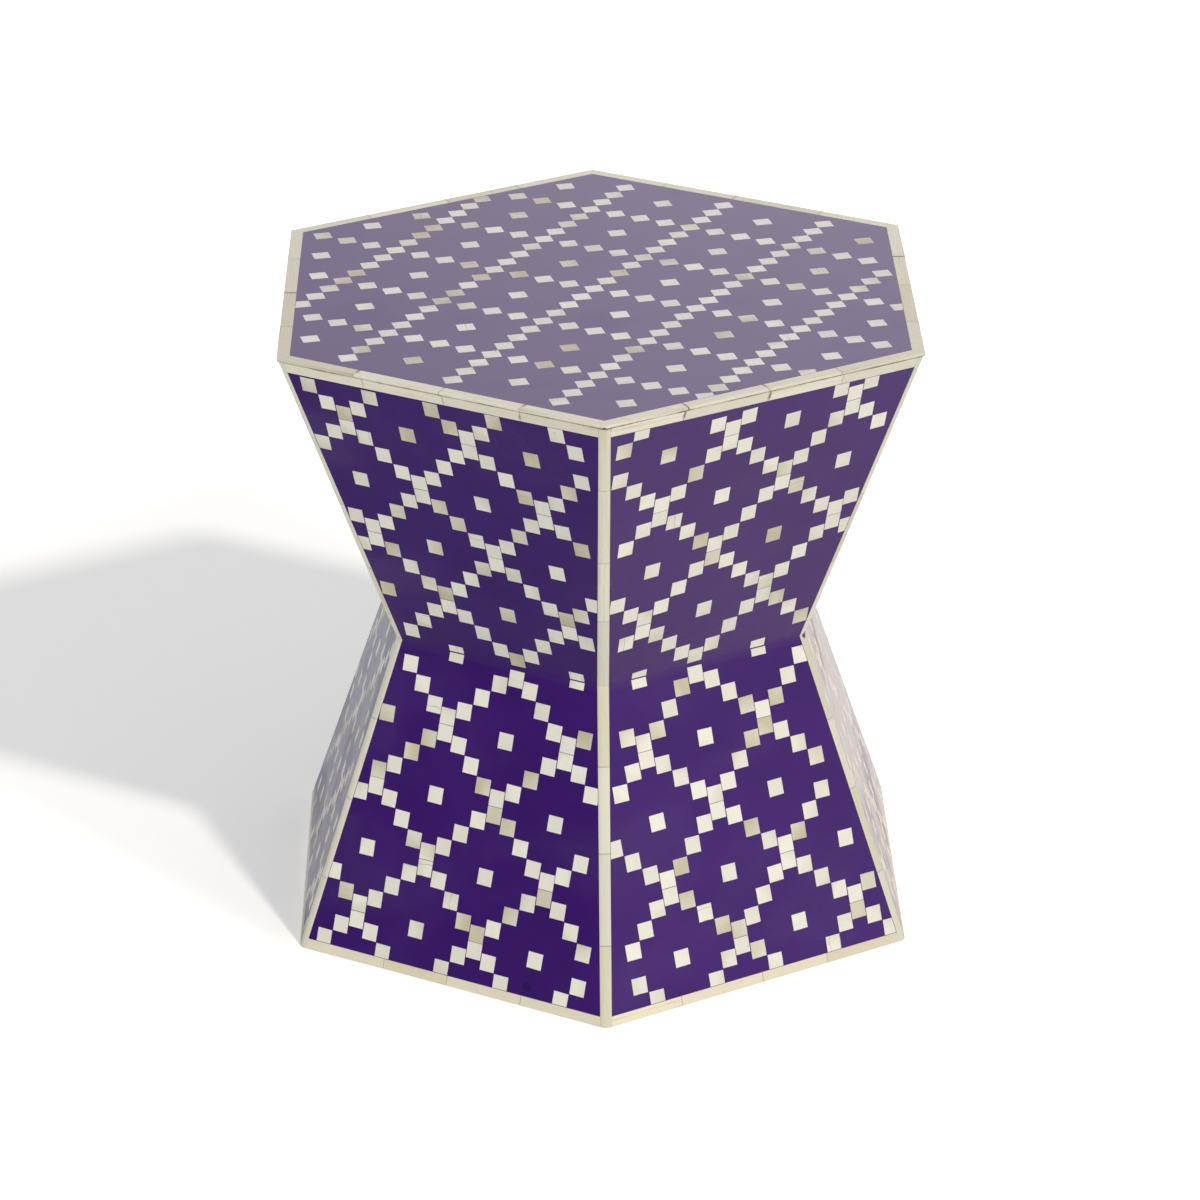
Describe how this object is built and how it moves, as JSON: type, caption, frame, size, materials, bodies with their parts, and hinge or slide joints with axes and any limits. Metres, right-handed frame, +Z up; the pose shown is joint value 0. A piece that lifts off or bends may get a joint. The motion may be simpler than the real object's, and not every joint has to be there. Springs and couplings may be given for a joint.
{
  "type": "hexagonal inlaid table",
  "caption": "Hexagonal drum table with a narrow waist, wooden boards under a skin of bone tiles and bone edge strips set flush in purple resin.",
  "frame": {"origin": "on the floor, under the middle of the table", "axes": "+Z up, a corner of the hexagon towards -Y, the flat sides towards +X and -X"},
  "size_m": [0.4382, 0.506, 0.45],
  "materials": {
    "board_wood": "planed hardwood boards, oiled on the inside",
    "panel_wood": "plain pressed board",
    "batten_wood": "sawn softwood battens",
    "resin": "deep purple resin, sanded flush and polished",
    "bone_tile": "polished bone, cream, with fine grain",
    "bone_strip": "polished bone strips, cream, with fine grain",
    "screw_steel": "zinc plated countersunk screws"
  },
  "bodies": {
    "root": {"base_border_strips": "bone_strip", "base_rail_1": "batten_wood", "base_rail_2": "batten_wood", "base_rail_3": "batten_wood", "base_rail_4": "batten_wood", "base_rail_5": "batten_wood", "base_rail_6": "batten_wood", "lower_bone_tiles_1": "bone_tile", "lower_bone_tiles_2": "bone_tile", "lower_bone_tiles_3": "bone_tile", "lower_bone_tiles_4": "bone_tile", "lower_bone_tiles_5": "bone_tile", "lower_bone_tiles_6": "bone_tile", "lower_corner_blocks": "batten_wood", "lower_corner_strips": "bone_strip", "lower_resin_1": "resin", "lower_resin_2": "resin", "lower_resin_3": "resin", "lower_resin_4": "resin", "lower_resin_5": "resin", "lower_resin_6": "resin", "lower_side_board_1": "board_wood", "lower_side_board_2": "board_wood", "lower_side_board_3": "board_wood", "lower_side_board_4": "board_wood", "lower_side_board_5": "board_wood", "lower_side_board_6": "board_wood", "lower_waist_plate": "panel_wood", "rail_screws": "screw_steel", "top_board": "panel_wood", "top_bone_tiles": "bone_tile", "top_border_strips": "bone_strip", "top_cleats": "batten_wood", "top_resin": "resin", "top_screws": "screw_steel", "upper_bone_tiles_1": "bone_tile", "upper_bone_tiles_2": "bone_tile", "upper_bone_tiles_3": "bone_tile", "upper_bone_tiles_4": "bone_tile", "upper_bone_tiles_5": "bone_tile", "upper_bone_tiles_6": "bone_tile", "upper_corner_blocks": "batten_wood", "upper_corner_strips": "bone_strip", "upper_resin_1": "resin", "upper_resin_2": "resin", "upper_resin_3": "resin", "upper_resin_4": "resin", "upper_resin_5": "resin", "upper_resin_6": "resin", "upper_rim_strips": "bone_strip", "upper_side_board_1": "board_wood", "upper_side_board_2": "board_wood", "upper_side_board_3": "board_wood", "upper_side_board_4": "board_wood", "upper_side_board_5": "board_wood", "upper_side_board_6": "board_wood", "upper_waist_plate": "panel_wood", "waist_screws": "screw_steel"}
  },
  "joints": []
}
